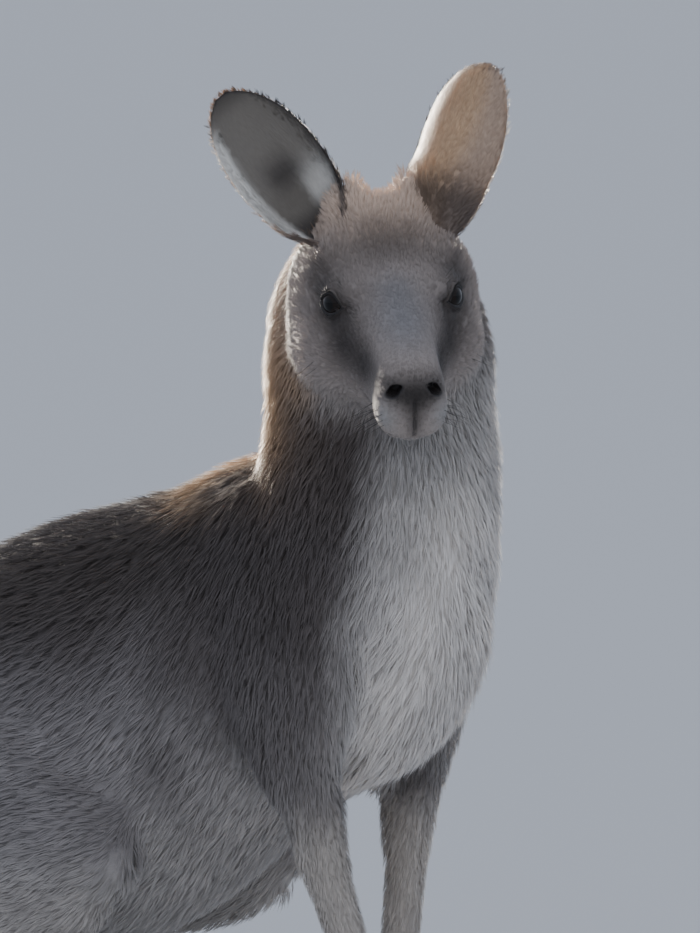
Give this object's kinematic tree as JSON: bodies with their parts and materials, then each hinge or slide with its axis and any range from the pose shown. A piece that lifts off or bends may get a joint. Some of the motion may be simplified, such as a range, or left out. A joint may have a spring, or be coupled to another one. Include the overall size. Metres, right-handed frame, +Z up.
{
  "type": "kangaroo",
  "caption": "Still life-size eastern grey kangaroo crouched on its forepaws, hind feet and tail, with its head raised and turned to its right.",
  "frame": {"origin": "middle of the animal's outline in X and Y, on the floor it stands on", "axes": "+Z up; the body faces -Y, so the tail points along +Y; +X is the animal's left side"},
  "size_m": [0.2814, 1.4008, 0.6838],
  "materials": {
    "chest_coat": "short dense fur",
    "claw": "satin horn",
    "ear_coat": "short dense fur",
    "eye": "wet gloss",
    "flank_coat": "short dense fur",
    "forearm_coat": "short dense fur",
    "forepaw_coat": "short dense fur",
    "head_coat": "short dense fur",
    "hind_foot_coat": "short dense fur",
    "jaw_coat": "short dense fur",
    "muzzle_coat": "short dense fur",
    "neck_coat": "short dense fur",
    "rump_coat": "short dense fur",
    "shank_coat": "short dense fur",
    "tail_coat": "short dense fur",
    "thigh_coat": "short dense fur",
    "upper_arm_coat": "short dense fur"
  },
  "bodies": {
    "root": {"abdomen": "flank_coat", "chest": "chest_coat", "ear_left": "ear_coat", "ear_right": "ear_coat", "eye_left": "eye", "eye_right": "eye", "fore_claw_1_left": "claw", "fore_claw_1_right": "claw", "fore_claw_2_left": "claw", "fore_claw_2_right": "claw", "fore_claw_3_left": "claw", "fore_claw_3_right": "claw", "fore_claw_4_left": "claw", "fore_claw_4_right": "claw", "fore_claw_5_left": "claw", "fore_claw_5_right": "claw", "forearm_left": "forearm_coat", "forearm_right": "forearm_coat", "forepaw_left": "forepaw_coat", "forepaw_right": "forepaw_coat", "head": "head_coat", "hind_claw_inner_toe_a_left": "claw", "hind_claw_inner_toe_a_right": "claw", "hind_claw_inner_toe_b_left": "claw", "hind_claw_inner_toe_b_right": "claw", "hind_claw_long_toe_left": "claw", "hind_claw_long_toe_right": "claw", "hind_claw_outer_toe_left": "claw", "hind_claw_outer_toe_right": "claw", "hind_foot_left": "hind_foot_coat", "hind_foot_right": "hind_foot_coat", "lower_jaw": "jaw_coat", "muzzle": "muzzle_coat", "neck": "neck_coat", "rump": "rump_coat", "shank_left": "shank_coat", "shank_right": "shank_coat", "tail_base": "tail_coat", "tail_end": "tail_coat", "tail_middle": "tail_coat", "tail_tip": "tail_coat", "thigh_left": "thigh_coat", "thigh_right": "thigh_coat", "upper_arm_left": "upper_arm_coat", "upper_arm_right": "upper_arm_coat"}
  },
  "joints": []
}
